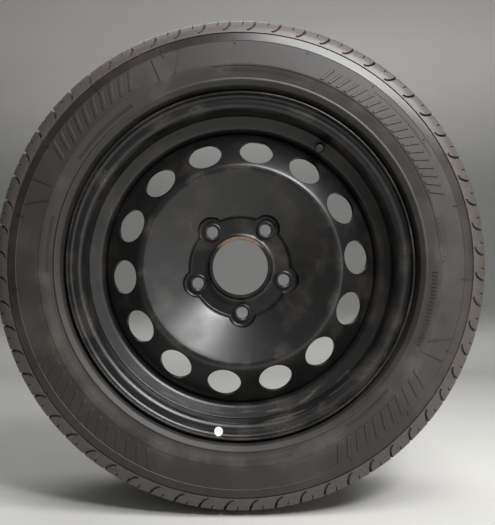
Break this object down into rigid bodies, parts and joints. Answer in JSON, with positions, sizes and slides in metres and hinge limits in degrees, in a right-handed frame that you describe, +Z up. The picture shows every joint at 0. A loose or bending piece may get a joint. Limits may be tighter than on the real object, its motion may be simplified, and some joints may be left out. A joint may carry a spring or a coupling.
{
  "type": "steel wheel with tyre",
  "caption": "Pressed steel car wheel in black paint with round vents, bolt holes and a hub bore, fitted with a low tyre and a snap-in valve whose cap unscrews.",
  "frame": {"origin": "on the spin axis, in the middle of the rim's width, which is the centre of the tyre", "axes": "+Y along the spin axis, from the outboard face towards the car; +Z up as pictured"},
  "size_m": [0.6314, 0.229, 0.6312],
  "materials": {
    "tyre_rubber": "matte dusty rubber",
    "black_paint": "semi-gloss black paint on steel",
    "white_film": "matt white adhesive film",
    "valve_rubber": "matt black rubber",
    "brass": "turned brass",
    "spring_steel": "bright wire",
    "cap_plastic": "matt black plastic"
  },
  "bodies": {
    "wheel": {"tyre": "tyre_rubber", "rim": "black_paint", "wheel_disc": "black_paint", "disc_welds": "black_paint", "match_dot": "white_film", "valve_body": "valve_rubber", "valve_stem": "brass", "valve_core_barrel": "brass", "valve_core_seal": "valve_rubber", "valve_spring": "spring_steel"},
    "pin": {"valve_pin": "brass", "valve_poppet": "valve_rubber"},
    "cap_washer": {"valve_cap_washer": "valve_rubber"},
    "cap": {"valve_cap": "cap_plastic"}
  },
  "joints": [
    {"name": "valve_pin_press", "type": "slide", "parent": "wheel", "child": "pin", "axis": [0.179, 0.9465, 0.2684], "range_m": [0, 0.0015], "stiffness_N_per_m": 800, "springref_m": -0.002, "deforming": ["valve_spring"]},
    {"name": "cap_lift", "type": "slide", "parent": "wheel", "child": "cap_washer", "axis": [-0.179, -0.9465, -0.2684], "range_m": [0, 0.00714]},
    {"name": "cap_turn", "type": "hinge", "parent": "cap_washer", "child": "cap", "pos_m": [0.10024, -0.08462, 0.1503], "axis": [-0.179, -0.9465, -0.2684], "range_deg": [0, 3240]}
  ],
  "couplings": [
    {"joint": "cap_turn", "follows": "cap_lift", "rad_per_m": 7915.8}
  ]
}
